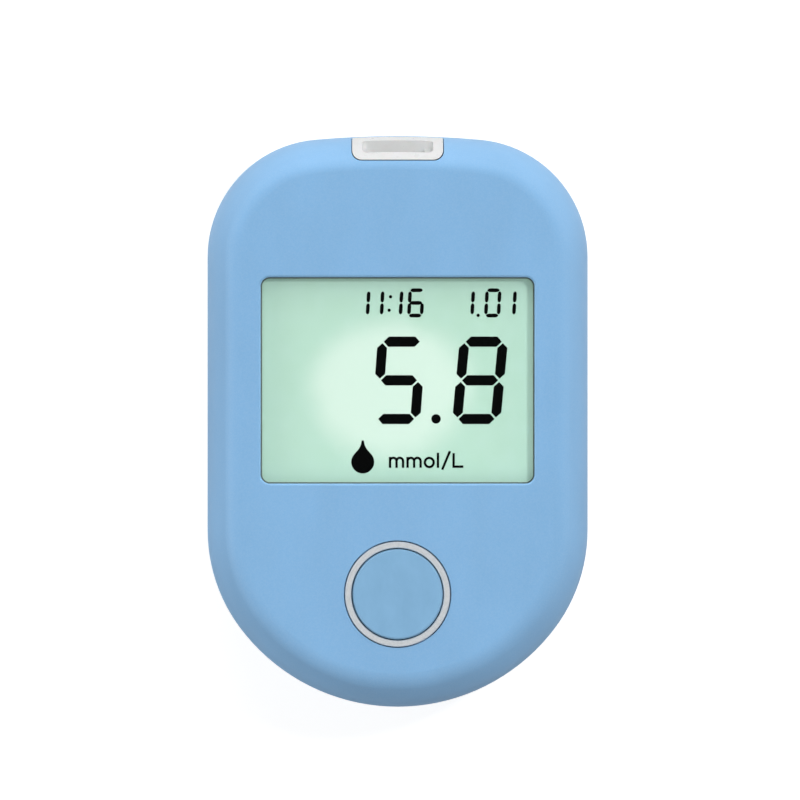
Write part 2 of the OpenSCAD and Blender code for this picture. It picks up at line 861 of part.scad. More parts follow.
module strip_collar() {
    tall = wing_top_z - wing_z;
    neck_l = mouth_back_y - wing_y;
    mouth_l = half_l + through - mouth_back_y;
    slot_l = half_l + through - wing_y;
    color(white) difference() {
        union() {
            intersection() {
                crown_part(touch_gap);
                collar_space(0);
            }
            translate([0, wing_y + neck_l / 2, wing_z]) block(neck_w, neck_l, tall);
            translate([0, wing_y + wing_t / 2, wing_z])
                block(collar_w + 2 * wing_side, wing_t, tall);
        }
        difference() {
            translate([0, mouth_back_y + mouth_l, mouth_z + mouth_h / 2])
                rotate([90, 0, 0]) linear_extrude(mouth_l)
                    soft_rect(mouth_w, mouth_h, mouth_r);
            both_sides() translate([slot_w / 2, mouth_back_y - through, mouth_z - through])
                cube([mouth_w, shoulder_l + through, shoulder_h + through]);
        }
        translate([-slot_w / 2, wing_y - through, slot_z])
            cube([slot_w, slot_l + through, slot_h]);
    }
}

function contact_x(i) = (i - (contact_count - 1) / 2) * contact_pitch;

module strip_connector() {
    color("#33363a") difference() {
        translate([0, connector_y + connector_l / 2, board_top_z])
            block(connector_w, connector_l, connector_h);
        translate([-slot_w / 2, connector_y + connector_back, slot_z])
            cube([slot_w, connector_l, slot_h]);
        for (i = [0 : contact_count - 1])
            translate([contact_x(i) - contact_w / 2 - touch_gap, connector_y - through, slot_z])
                cube([contact_w + 2 * touch_gap, connector_l, connector_h]);
    }
}

// Spring contacts: a foot on the board, a riser and an arm that dips into the slot
module strip_contacts() {
    arm_top_z = slot_z + slot_h + contact_arm;
    arm_z = arm_top_z - contact_t;
    dip_z = slot_z + slot_h / 2;
    back_y = connector_y - connector_back / 2;
    arm_end_y = connector_y + 0.75 * connector_l;
    dip_y = arm_end_y - connector_l / 9;
    slope_y = dip_y - connector_l / 4;
    foot_z = board_top_z + contact_t;
    color("#d8b25a") for (i = [0 : contact_count - 1])
        translate([contact_x(i) + contact_w / 2, 0, 0]) rotate([90, 0, -90])
            linear_extrude(contact_w) mirror([1, 0]) polygon([
                [back_y - contact_foot, board_top_z], [back_y, board_top_z],
                [back_y, arm_z], [slope_y, arm_z], [dip_y, dip_z], [arm_end_y, arm_z],
                [arm_end_y, arm_top_z], [dip_y, dip_z + contact_t], [slope_y, arm_top_z],
                [back_y - contact_t, arm_top_z], [back_y - contact_t, foot_z],
                [back_y - contact_foot, foot_z]
            ]);
}

module main_board() {
    color(board_green) translate([0, 0, board_z]) difference() {
        linear_extrude(board_t) outline(board_inset);
        translate([0, wing_y - touch_gap + half_l, -through])
            block(collar_w + 2 * (wing_side + 2 * fit), 2 * half_l, board_t + 2 * through);
        both_sides() {
            for (place = case_screw_places)
                translate([place.x, place.y, -through])
                    cylinder(h = board_t + 2 * through, r = boss_r + 2 * fit);
            for (place = board_screw_places)
                translate([place.x, place.y, -through])
                    cylinder(h = board_t + 2 * through, d = board_screw_d + 2 * fit);
            for (place = peg_places)
                translate([place.x, place.y, -through])
                    cylinder(h = board_t + 2 * through, r = peg_r + touch_gap);
        }
    }
}

module board_screws() {
    color(steel) both_sides() for (place = board_screw_places)
        translate([place.x, place.y, board_z])
            screw(board_screw_d, board_screw_l, board_head_r, board_head_h);
}

module processor_chip() {
    color(black) translate([chip_place.x, chip_place.y, board_z - chip_h]) {
        block(chip_w, chip_w, chip_h);
        for (turn = [0 : 90 : 270], i = [0 : chip_lead_count - 1])
            rotate(turn) translate([
                chip_w / 2 + chip_lead.x / 2 - touch_gap,
                (i - (chip_lead_count - 1) / 2) * chip_lead_pitch,
                chip_h - chip_lead.z
            ])
                block(chip_lead.x, chip_lead.y, chip_lead.z);
    }
}

module quartz_crystal() {
    color(steel) translate([crystal_place.x, crystal_place.y, board_z - crystal_r])
        rotate([-90, 0, 0]) cylinder(h = crystal_l, r = crystal_r);
}

module buzzer() {
    color(black) translate([buzzer_x, window_y, board_z - buzzer_h]) difference() {
        cylinder(h = buzzer_h, r = buzzer_r);
        translate([0, 0, -through]) cylinder(h = through + buzzer_h / 3, r = buzzer_r / 6);
    }
}

// Small resistors and capacitors in two rows on the board's rear side
module small_components() {
    color("#b98f63") for (x = component_rows, i = [0 : component_count - 1])
        translate([-x, window_y - i * component_pitch, board_z - component.z])
            block(component.x, component.y, component.z);
}

// One round cell along +Y, its nub at the far end
module cell() {
    r = cell_d / 2;
    rotate([-90, 0, 0]) rotate_extrude() polygon([
        [0, 0], [r - 1, 0], [r - 0.4, 0.3], [r, 0.7],
        [r, cell_l - nub_l - 0.6], [r - 0.5, cell_l - nub_l],
        [nub_r, cell_l - nub_l], [nub_r, cell_l - 0.2], [nub_r - 0.2, cell_l], [0, cell_l]
    ]);
}

module battery_left() {
    color("#e9a13b") translate([-cell_x, bay_low_y + plate_t + dimple_h + cell_l, cell_z])
        mirror([0, 1, 0]) cell();
}

module battery_right() {
    color("#e9a13b") translate([cell_x, bay_low_y + plate_t + spring_l, cell_z]) cell();
}

// Centre line of a contact spring, a cone of even pitch that starts in its plate
spring_steps = 8;
function spring_point(i) =
    let (
        part = i / (spring_turns * spring_steps),
        r = spring_base_r + (spring_tip_r - spring_base_r) * part,
        a = 360 * i / spring_steps
    )
    [r * cos(a), r * sin(a), -plate_t / 3 + (spring_l - wire_d / 2 + plate_t / 3) * part];

spring_path = [for (i = [0 : spring_turns * spring_steps]) spring_point(i)];
spring_clear = min([
    for (i = [0 : len(spring_path) - 1], j = [0 : len(spring_path) - 1])
        if (j - i > spring_steps / 2) norm(spring_path[i] - spring_path[j])
]) - wire_d;
echo(spring_gap_to_itself = spring_clear);

// A tube of six sides along the points of a path that winds about Z
module wire(path) {
    sides = 6;
    count = len(path);
    function along(i) =
        let (d = path[min(i + 1, count - 1)] - path[max(i - 1, 0)]) d / norm(d);
    function outward(i) = [path[i].x, path[i].y, 0] / norm([path[i].x, path[i].y]);
    function ring(i) =
        let (t = along(i), u = outward(i) - (outward(i) * t) * t, v = cross(t, u))
        [for (k = [0 : sides - 1])
            path[i] + wire_d / 2 * (cos(60 * k) * u / norm(u) + sin(60 * k) * v / norm(v))];
    polyhedron(
        points = [for (i = [0 : count - 1]) each ring(i)],
        faces = concat(
            [[for (k = [0 : sides - 1]) k]],
            [[for (k = [sides - 1 : -1 : 0]) (count - 1) * sides + k]],
            [for (i = [0 : count - 2], k = [0 : sides - 1])
                let (a = i * sides + k, b = i * sides + (k + 1) % sides)
                each [[a, a + sides, b], [b, a + sides, b + sides]]]
        )
    );
}

// A contact plate that faces -Y, centred on a cell's axis
module contact_plate(w) {
    translate([-w / 2, 0, -plate_h / 2]) cube([w, plate_t, plate_h]);
}

// Dimple and spring that stand on a plate's face and point along -Y
module contact_dimple() {
    rotate([90, 0, 0]) cylinder(h = dimple_h, r = nub_r);
}
module contact_spring() {
    rotate([90, 0, 0]) wire(spring_path);
}

// Lead from the top of a plate to the board
module contact_lead() {
    translate([-lead_w / 2, 0, plate_h / 2 - plate_t])
        cube([lead_w, plate_t, board_z - cell_z - plate_h / 2 + plate_t]);
}

module contact_positive() {
    color(steel) translate([cell_x, bay_high_y - plate_t, cell_z]) {
        contact_plate(plate_h);
        contact_lead();
        contact_dimple();
    }
}

module contact_negative() {
    color(steel) translate([-cell_x, bay_high_y - plate_t, cell_z]) {
        contact_plate(plate_h);
        contact_lead();
        contact_spring();
    }
}

module contact_bridge() {
    color(steel) translate([0, bay_low_y + plate_t, cell_z]) mirror([0, 1, 0]) {
        contact_plate(2 * cell_x + plate_h);
        translate([-cell_x, 0, 0]) contact_dimple();
        translate([cell_x, 0, 0]) contact_spring();
    }
}

front_shell();
rear_shell();
battery_door();
case_screws();
window_lens();
lens_tape();
display_gasket();
front_polariser();
front_glass();
rear_glass();
rear_polariser();
light_guide();
reflector_sheet();
backlight_leds();
display_frame();
zebra_strip();
button_ring();
button_cap();
switch_plunger();
tact_switch();
strip_collar();
strip_connector();
strip_contacts();
main_board();
board_screws();
processor_chip();
quartz_crystal();
buzzer();
small_components();
battery_left();
battery_right();
contact_bridge();
contact_positive();
contact_negative();
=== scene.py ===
"""Looks of a handheld blood glucose meter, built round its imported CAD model.

The meter lies on its back: +Z comes out of the display and +Y points to the test strip port.
Lengths are in metres. Measures that end in PX are pixels of the 800 x 800 front view.
"""

import math
import bmesh
import bpy
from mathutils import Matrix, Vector


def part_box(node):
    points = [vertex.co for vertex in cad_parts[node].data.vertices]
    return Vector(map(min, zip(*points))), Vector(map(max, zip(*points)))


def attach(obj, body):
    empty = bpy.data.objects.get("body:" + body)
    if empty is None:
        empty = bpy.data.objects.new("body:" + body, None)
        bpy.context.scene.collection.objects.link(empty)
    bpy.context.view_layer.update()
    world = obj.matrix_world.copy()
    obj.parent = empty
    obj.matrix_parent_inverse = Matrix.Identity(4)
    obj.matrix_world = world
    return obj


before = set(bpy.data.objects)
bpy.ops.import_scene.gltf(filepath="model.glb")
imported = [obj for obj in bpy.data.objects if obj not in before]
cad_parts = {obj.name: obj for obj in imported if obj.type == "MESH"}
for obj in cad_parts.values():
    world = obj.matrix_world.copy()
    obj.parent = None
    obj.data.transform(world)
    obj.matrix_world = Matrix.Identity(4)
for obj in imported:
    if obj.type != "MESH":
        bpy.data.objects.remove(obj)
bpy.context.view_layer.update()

MM = 0.001

# The front view: its scale, the height where it holds, and the pixel over the CAD origin
PIXEL = 0.149 * MM
VIEW_PX = 800
ORIGIN_PX = (397.6, 421.4)
SCALE_HEIGHT = 10.5 * MM
CAMERA_DISTANCE = 2.0
SENSOR = 36.0

# Light, as shares of the level at which a colour renders as written. The surroundings give
# the ceiling and the horizon, stronger by PORT_SHARE at the port. Lamps give the rest.
CEILING_LEVEL = 0.02
HORIZON_LEVEL = 1.5
PORT_SHARE = 0.75
KEY_LEVEL = 0.37
SIDE_LEVEL = 0.26
PORT_LEVEL = 0.29
BUTTON_LEVEL = 0.23
LAMP_DISTANCE = 1.2

# The display's window in the front shell, from the same sizes as the CAD model
WINDOW_WIDTH = 40.6 * MM
WINDOW_LENGTH = 30.6 * MM
WINDOW_Y = 6.1 * MM
WINDOW_CORNER = 1.35 * MM
BUTTON_Y = -25.6 * MM


def colour(red, green, blue):
    """Linear colour with full alpha, from a screen colour with values up to 255."""
    linear = []
    for value in (red, green, blue):
        share = value / 255
        linear.append(share / 12.92 if share <= 0.04045 else ((share + 0.055) / 1.055) ** 2.4)
    return (*linear, 1.0)


def toned(tint, factor):
    """Linear colour made darker or paler by a factor, with full alpha."""
    return tuple(min(1.0, factor * part) for part in tint[:3]) + (1.0,)


def at_pixel(x, y):
    """Place in the CAD frame of a pixel of the front view."""
    return ((x - ORIGIN_PX[0]) * PIXEL, (ORIGIN_PX[1] - y) * PIXEL)


class Nodes:
    """Short calls that add nodes to one node tree and join them."""

    def __init__(self, tree):
        self.nodes = tree.nodes
        self.links = tree.links

    def join(self, value, socket):
        """Links a socket to an input, or sets the input to a plain value."""
        if isinstance(value, bpy.types.NodeSocket):
            self.links.new(value, socket)
        else:
            socket.default_value = value

    def add(self, kind, inputs=None, **settings):
        """Adds a node with the given settings and inputs."""
        node = self.nodes.new(kind)
        for key, value in settings.items():
            setattr(node, key, value)
        for key, value in (inputs or {}).items():
            self.join(value, node.inputs[key])
        return node

    def math(self, operation, first, second=0.0):
        """Result of a Math node."""
        return self.add("ShaderNodeMath", {0: first, 1: second}, operation=operation).outputs[0]

    def vector(self, operation, first, second):
        """Result of a Vector Math node, a number where the operation gives one."""
        node = self.add("ShaderNodeVectorMath", {0: first, 1: second}, operation=operation)
        return node.outputs["Value" if operation in ("DOT_PRODUCT", "DISTANCE") else "Vector"]

    def axes(self, vector):
        """X, Y and Z of a vector."""
        return self.add("ShaderNodeSeparateXYZ", {0: vector}).outputs

    def span(self, value, start, end, low=0.0, high=1.0, smooth=False):
        """Takes value from start...end to low...high, and holds it there outside."""
        inputs = {"Value": value, "From Min": start, "From Max": end, "To Min": low, "To Max": high}
        kind = "SMOOTHSTEP" if smooth else "LINEAR"
        return self.add("ShaderNodeMapRange", inputs, interpolation_type=kind).outputs["Result"]

    def spread(self, noise, low=0.0, high=1.0):
        """Takes the range that a noise mostly stays in to low...high."""
        return self.span(noise, 0.3, 0.7, low, high)

    def mix(self, share, first, second):
        """Colour between two colours."""
        inputs = {0: share, 6: first, 7: second}
        return self.add("ShaderNodeMix", inputs, data_type="RGBA").outputs[2]

    def noise(self, place, size, detail=2.0, rough=0.5):
        """Noise of 0 to 1 with lumps of about the given size."""
        inputs = {"Vector": place, "Scale": 1 / size, "Detail": detail, "Roughness": rough}
        return self.add("ShaderNodeTexNoise", inputs).outputs["Fac"]

    def cells(self, place, size, feature="F1"):
        """Distance inside cells of about the given size."""
        inputs = {"Vector": place, "Scale": 1 / size}
        return self.add("ShaderNodeTexVoronoi", inputs, feature=feature).outputs["Distance"]

    def bump(self, height, depth, normal=None):
        """Normal of a relief of the given depth."""
        inputs = {"Height": height, "Distance": depth, "Strength": 1.0}
        if normal:
            inputs["Normal"] = normal
        return self.add("ShaderNodeBump", inputs).outputs["Normal"]


class Material(Nodes):
    """A material with a Principled shader, and the place on the object to build it from."""

    def __init__(self, name):
        self.material = bpy.data.materials.new(name)
        self.material.use_nodes = True
        super().__init__(self.material.node_tree)
        self.shader = self.nodes["Principled BSDF"]
        self.output = self.nodes["Material Output"]
        self.place = self.add("ShaderNodeTexCoord").outputs["Object"]

    def set(self, **inputs):
        """Sets inputs of the Principled shader: base_color stands for Base Color."""
        for key, value in inputs.items():
            words = key.replace("_", " ").title().replace("Ior", "IOR")
            self.join(value, self.shader.inputs[words])
        return self.material

    def stretched(self, x, y, z):
        """Place on the object, scaled along each axis."""
        return self.vector("MULTIPLY", self.place, (x, y, z))

    def radius_from(self, x, y, stretch=1.0):
        """Distance from an upright axis, longer by the stretch along Y."""
        off = self.vector("SUBTRACT", self.place, (x, y, 0.0))
        flat = self.vector("MULTIPLY", off, (1.0, stretch, 0.0))
        return self.vector("DISTANCE", flat, (0.0, 0.0, 0.0))

    def soft_edges(self, radius):
        """Normal with rounded edges, and a mask of the edges."""
        rounded = self.add("ShaderNodeBevel", {"Radius": radius}, samples=6).outputs["Normal"]
        flat = self.add("ShaderNodeNewGeometry").outputs["Normal"]
        turn = self.vector("DOT_PRODUCT", rounded, flat)
        return rounded, self.span(turn, 0.998, 0.9)


# ---------------------------------------------------------------- materials

WHITE = (1.0, 1.0, 1.0, 1.0)
BLACK = (0.0, 0.0, 0.0, 1.0)
ACRYLIC_IOR = 1.49
GLASS_IOR = 1.52
SATIN_SPECULAR = 0.38


def moulded(name, tint, shine, grain=0.22 * MM, relief=0.0035 * MM, worn=None, **inputs):
    """Moulded plastic: fine grain, faint flow marks, and rubbed, slightly paler edges."""
    m = Material(name)
    normal, edge = m.soft_edges(0.18 * MM)
    flow = m.noise(m.stretched(1, 0.45, 1), 9 * MM, 3)
    patches = m.noise(m.place, 2.2 * MM, 4, 0.6)
    fine = m.noise(m.place, grain, 2, 0.55)
    base = m.mix(m.spread(flow), toned(tint, 0.965), toned(tint, 1.03))
    base = m.mix(m.span(fine, 0.35, 0.75, 0.0, 0.05), base, WHITE)
    rubbed = m.math("MULTIPLY", edge, m.span(patches, 0.42, 0.66, 0.0, 0.35))
    base = m.mix(rubbed, base, worn or toned(tint, 1.3))
    rough = m.math("ADD", m.spread(patches, shine - 0.05, shine + 0.05),
                   m.spread(fine, -0.03, 0.03))
    rough = m.math("SUBTRACT", rough, m.math("MULTIPLY", rubbed, 0.3))
    height = m.math("ADD", fine, m.math("MULTIPLY", patches, 0.5))
    return m.set(base_color=base, roughness=rough, normal=m.bump(height, relief, normal), **inputs)


def housing_blue():
    """Satin blue of both shells and the battery door."""
    return moulded("housing_blue", colour(132, 182, 225), 0.42, specular_ior_level=SATIN_SPECULAR)


def cap_blue():
    """The cap's greyer blue, polished by thumbs in the middle."""
    m = Material("cap_blue")
    normal, edge = m.soft_edges(0.15 * MM)
    radius = m.radius_from(0.0, BUTTON_Y)
    fine = m.noise(m.place, 0.2 * MM, 2)
    smudge = m.noise(m.stretched(1, 0.6, 1), 2.4 * MM, 4, 0.6)
    middle = m.span(radius, 5.2 * MM, 1.5 * MM, smooth=True)
    base = m.mix(m.spread(smudge), colour(130, 176, 212), colour(136, 183, 219))
    base = m.mix(m.math("MULTIPLY", edge, 0.4), base, colour(168, 200, 226))
    rough = m.span(middle, 0, 1, 0.48, 0.36)
    rough = m.math("ADD", rough, m.span(smudge, 0.35, 0.65, -0.05, 0.05))
    relief = m.span(middle, 0, 1, 1.0, 0.45)
    height = m.math("MULTIPLY", fine, relief)
    return m.set(base_color=base, roughness=rough, normal=m.bump(height, 0.004 * MM, normal),
                 specular_ior_level=SATIN_SPECULAR)


def collar_white():
    """Smooth white plastic of the strip port's collar, faintly soiled in patches."""
    m = Material("collar_white")
    normal, edge = m.soft_edges(0.12 * MM)
    soil = m.noise(m.place, 1.1 * MM, 4, 0.65)
    fine = m.noise(m.place, 0.15 * MM, 2)
    base = m.mix(m.span(soil, 0.45, 0.8, 0.0, 0.22), colour(216, 217, 217), colour(192, 194, 191))
    rough = m.math("ADD", m.spread(soil, 0.26, 0.36), m.math("MULTIPLY", edge, -0.06))
    return m.set(base_color=base, roughness=rough, normal=m.bump(fine, 0.0016 * MM, normal),
                 subsurface_weight=0.08, subsurface_scale=0.4 * MM)


def ring_silver():
    """Satin metal finish with the fine circles that turning leaves, and a painted highlight of
    paler rims.
    """
    m = Material("ring_silver")
    normal, edge = m.soft_edges(0.06 * MM)
    radius = m.radius_from(0.0, BUTTON_Y)
    circles = m.math("SINE", m.math("MULTIPLY", radius, 2 * math.pi / (0.05 * MM)))
    grain = m.noise(m.place, 0.3 * MM, 4, 0.7)
    base = m.mix(m.spread(grain), colour(199, 204, 207), colour(216, 219, 222))
    # Painted highlight: the rims are mixed towards a paler silver.
    base = m.mix(m.math("MULTIPLY", edge, 0.35), base, colour(226, 231, 235))
    height = m.math("ADD", m.math("MULTIPLY", circles, 0.5), grain)
    return m.set(base_color=base, metallic=0.85, roughness=m.spread(grain, 0.3, 0.42),
                 normal=m.bump(height, 0.0009 * MM, normal))


def lens_clear():
    """Clear pane with hairline scratches, open to shadow rays and rays from matt surfaces."""
    m = Material("lens_clear")
    hairs = m.noise(m.stretched(0.05, 1, 1), 0.12 * MM, 2)
    spots = m.noise(m.place, 3 * MM, 3)
    rough = m.math("MULTIPLY", m.span(hairs, 0.62, 0.8, 0.0, 0.05), m.span(spots, 0.45, 0.7))
    m.set(base_color=WHITE, roughness=rough, transmission_weight=1.0, ior=ACRYLIC_IOR)
    clear = m.add("ShaderNodeBsdfTransparent").outputs[0]
    rays = m.add("ShaderNodeLightPath").outputs
    pane = m.shader.outputs[0]
    for ray in ("Is Diffuse Ray", "Is Shadow Ray"):
        pane = m.add("ShaderNodeMixShader", {0: rays[ray], 1: pane, 2: clear}).outputs[0]
    m.join(pane, m.output.inputs["Surface"])
    return m.material


# The backlight's glow, painted on the display film: its colour pales round this middle, and the
# film gives light of its own.
GLOW_MIDDLE_PX = (390.0, 390.0)
GLOW_INNER_PX = 55.0
GLOW_OUTER_PX = 96.0
GLOW_FLATNESS = 1.15
FILM_PAINTED_GLOW = 0.15


def display_film():
    """Green of the display with a faint pearly grain, and the backlight's glow painted on: paler
    round the middle, and light of its own.
    """
    m = Material("film_green")
    away = m.radius_from(*at_pixel(*GLOW_MIDDLE_PX), GLOW_FLATNESS)
    wave = m.noise(m.place, 8 * MM, 2)
    away = m.math("ADD", away, m.spread(wave, -0.8 * MM, 0.8 * MM))
    # Painted glow of the backlight: the film's colour pales towards the middle.
    painted_glow = m.span(away, GLOW_OUTER_PX * PIXEL, GLOW_INNER_PX * PIXEL, smooth=True)
    pearl = m.noise(m.place, 0.18 * MM, 3, 0.6)
    cloud = m.noise(m.place, 2.5 * MM, 2)
    base = m.mix(m.spread(cloud), colour(188, 228, 207), colour(192, 231, 212))
    base = m.mix(painted_glow, base, colour(219, 246, 230))
    base = m.mix(m.spread(pearl, 0.0, 0.06), base, colour(240, 255, 246))
    return m.set(base_color=base, roughness=0.5, normal=m.bump(pearl, 0.0015 * MM),
                 specular_ior_level=0.2, emission_color=base, emission_strength=FILM_PAINTED_GLOW)


def display_glass():
    """Thin greenish glass with its clear electrode pattern as a faint sheen."""
    m = Material("display_glass")
    pattern = m.cells(m.place, 1.2 * MM)
    base = m.mix(m.span(pattern, 0.2, 0.7), colour(204, 228, 216), colour(214, 236, 226))
    return m.set(base_color=base, roughness=m.span(pattern, 0.2, 0.6, 0.02, 0.07), ior=GLASS_IOR,
                 transmission_weight=0.85)


def guide_clear():
    """Clear light guide with rows of moulded dots on its rear face."""
    m = Material("guide_clear")
    dots = m.cells(m.place, 0.7 * MM)
    base = m.mix(m.span(dots, 0.25, 0.32), colour(250, 255, 250), colour(228, 250, 236))
    return m.set(base_color=base, roughness=m.span(dots, 0.25, 0.35, 0.35, 0.06), ior=ACRYLIC_IOR,
                 transmission_weight=0.7, normal=m.bump(dots, 0.02 * MM))


def display_ink():
    """Black of the display's segments, with a trace of the grain behind them."""
    m = Material("display_ink")
    grain = m.noise(m.place, 0.2 * MM, 3)
    base = m.mix(m.spread(grain), colour(1, 2, 2), colour(5, 7, 7))
    return m.set(base_color=base, roughness=m.spread(grain, 0.6, 0.75),
                 specular_ior_level=0.0)


def painted_shadow_line():
    """Dark grey-green of a painted shadow line round the inside of the window."""
    m = Material("painted_shadow_line")
    grain = m.noise(m.place, 0.12 * MM, 3)
    base = m.mix(m.spread(grain), colour(116, 132, 127), colour(126, 143, 138))
    return m.set(base_color=base, roughness=m.spread(grain, 0.45, 0.6))


def black_plastic(name, rough=0.5):
    """Black moulding compound with a fine matt grain."""
    m = Material(name)
    normal, edge = m.soft_edges(0.1 * MM)
    grain = m.noise(m.place, 0.14 * MM, 3, 0.6)
    marks = m.noise(m.stretched(1, 0.2, 1), 0.8 * MM, 3)
    base = m.mix(m.spread(grain), colour(30, 31, 34), colour(44, 45, 48))
    base = m.mix(m.math("MULTIPLY", edge, m.span(marks, 0.4, 0.6, 0.0, 0.5)), base,
                 colour(88, 90, 94))
    return m.set(base_color=base, roughness=m.spread(marks, rough - 0.08, rough + 0.08),
                 normal=m.bump(grain, 0.005 * MM, normal))


def foam_black():
    """Black foam with open pores."""
    m = Material("foam_black")
    pores = m.cells(m.place, 0.16 * MM)
    grain = m.noise(m.place, 0.6 * MM, 3)
    base = m.mix(m.span(pores, 0.05, 0.5), colour(14, 14, 16), colour(46, 46, 48))
    return m.set(base_color=base, roughness=m.spread(grain, 0.85, 0.98),
                 normal=m.bump(pores, 0.03 * MM))


def frame_white():
    """White frame and reflector plastic, matt with a soft grain."""
    return moulded("frame_white", colour(236, 236, 232), 0.6, 0.3 * MM, 0.004 * MM,
                   worn=colour(250, 250, 248))


def rubber_stripes():
    """Silicone strip with the fine dark layers that conduct."""
    m = Material("rubber_tan")
    x = m.axes(m.place)[0]
    layers = m.math("SINE", m.math("MULTIPLY", x, 2 * math.pi / (0.18 * MM)))
    cloud = m.noise(m.place, 0.9 * MM, 3)
    base = m.mix(m.spread(cloud), colour(196, 178, 152), colour(208, 192, 168))
    base = m.mix(m.span(layers, 0.1, 0.5), base, colour(52, 46, 42))
    return m.set(base_color=base, roughness=m.spread(cloud, 0.6, 0.8),
                 normal=m.bump(layers, 0.004 * MM))


def led_body():
    """White diode body with a yellow face."""
    m = Material("led_yellow")
    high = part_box("backlight_leds")[1]
    z = m.axes(m.place)[2]
    grain = m.noise(m.place, 0.1 * MM, 3)
    phosphor = m.mix(m.spread(grain), colour(232, 214, 104), colour(246, 232, 140))
    face = m.span(z, high.z - 0.25 * MM, high.z - 0.2 * MM)
    base = m.mix(face, colour(238, 236, 226), phosphor)
    return m.set(base_color=base, roughness=m.spread(grain, 0.3, 0.45),
                 normal=m.bump(grain, 0.004 * MM))


def board_green():
    """Solder mask over copper tracks: angled runs, pads and a paler bare edge."""
    m = Material("board_green")
    low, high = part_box("main_board")
    brick = {"Vector": m.place, "Scale": 1.0, "Mortar Size": 0.16 * MM, "Mortar Smooth": 0.1,
             "Brick Width": 3.4 * MM, "Row Height": 0.9 * MM, "Color1": BLACK,
             "Color2": BLACK, "Mortar": WHITE}
    tracks = m.add("ShaderNodeTexBrick", brick, offset=0.37).outputs["Color"]
    pads = m.span(m.cells(m.place, 2.1 * MM), 0.14, 0.12)
    cloud = m.noise(m.place, 1.6 * MM, 3)
    base = m.mix(m.spread(cloud), colour(38, 92, 58), colour(46, 104, 66))
    base = m.mix(tracks, base, colour(66, 132, 86))
    base = m.mix(pads, base, colour(206, 172, 96))
    z = m.axes(m.place)[2]
    side = m.math("MULTIPLY", m.span(z, low.z + 0.08 * MM, low.z + 0.1 * MM),
                  m.span(z, high.z - 0.08 * MM, high.z - 0.1 * MM))
    base = m.mix(side, base, colour(150, 158, 118))
    height = m.math("ADD", tracks, pads)
    return m.set(base_color=base, metallic=m.math("MULTIPLY", pads, 0.8),
                 roughness=m.spread(cloud, 0.28, 0.4), normal=m.bump(height, 0.02 * MM))


def metal(name, dark, pale, rough, brushed=(1, 1, 1)):
    """Plated metal with drawing marks and a few dull spots."""
    m = Material(name)
    normal, edge = m.soft_edges(0.06 * MM)
    marks = m.noise(m.stretched(*brushed), 0.1 * MM, 3, 0.6)
    dull = m.noise(m.place, 1.2 * MM, 4, 0.65)
    base = m.mix(m.span(dull, 0.35, 0.7), pale, dark)
    base = m.mix(m.math("MULTIPLY", edge, 0.4), base, toned(pale, 1.25))
    wear = m.math("ADD", m.spread(marks, rough - 0.08, rough + 0.08),
                  m.span(dull, 0.5, 0.8, 0.0, 0.15))
    return m.set(base_color=base, metallic=1.0, roughness=wear,
                 normal=m.bump(marks, 0.002 * MM, normal))


def steel(name="steel"):
    """Nickel-plated steel of contacts and screws."""
    return metal(name, colour(172, 174, 176), colour(208, 210, 212), 0.3, (0.1, 1, 1))


def contact_gold():
    """Gold-plated strip contacts, bright where strips wipe them."""
    return metal("contact_gold", colour(198, 150, 70), colour(232, 190, 104), 0.26, (1, 0.1, 1))


def leaded(name, body, low, high):
    """A black part whose leads outside the box low...high are tinned metal."""
    m = Material(name)
    x, y, z = m.axes(m.place)
    grain = m.noise(m.place, 0.12 * MM, 3)
    inside = m.math("MULTIPLY", m.span(x, low[0] - 0.02 * MM, low[0]),
                    m.span(x, high[0] + 0.02 * MM, high[0]))
    inside = m.math("MULTIPLY", inside, m.span(y, low[1] - 0.02 * MM, low[1]))
    inside = m.math("MULTIPLY", inside, m.span(y, high[1] + 0.02 * MM, high[1]))
    inside = m.math("MULTIPLY", inside, m.span(z, high[2] + 0.02 * MM, high[2]))
    black = m.mix(m.spread(grain), body, toned(body, 1.4))
    base = m.mix(inside, colour(196, 198, 200), black)
    return m.set(base_color=base, metallic=m.span(inside, 0, 1, 1, 0),
                 roughness=m.span(inside, 0, 1, 0.3, 0.6), normal=m.bump(grain, 0.006 * MM))


def component_tan():
    """Small ceramic parts with tinned ends."""
    m = Material("component_tan")
    grain = m.noise(m.place, 0.2 * MM, 3)
    tint = m.noise(m.place, 3 * MM, 0)
    base = m.mix(m.span(tint, 0.4, 0.6), colour(150, 112, 74), colour(178, 146, 104))
    base = m.mix(m.spread(grain, 0.0, 0.2), base, colour(210, 190, 150))
    return m.set(base_color=base, roughness=m.spread(grain, 0.4, 0.6),
                 normal=m.bump(grain, 0.01 * MM))


END_METAL = 1.6 * MM
BASE_METAL = 0.7 * MM
BAND_START = 6.5 * MM
BAND_END = 9.0 * MM


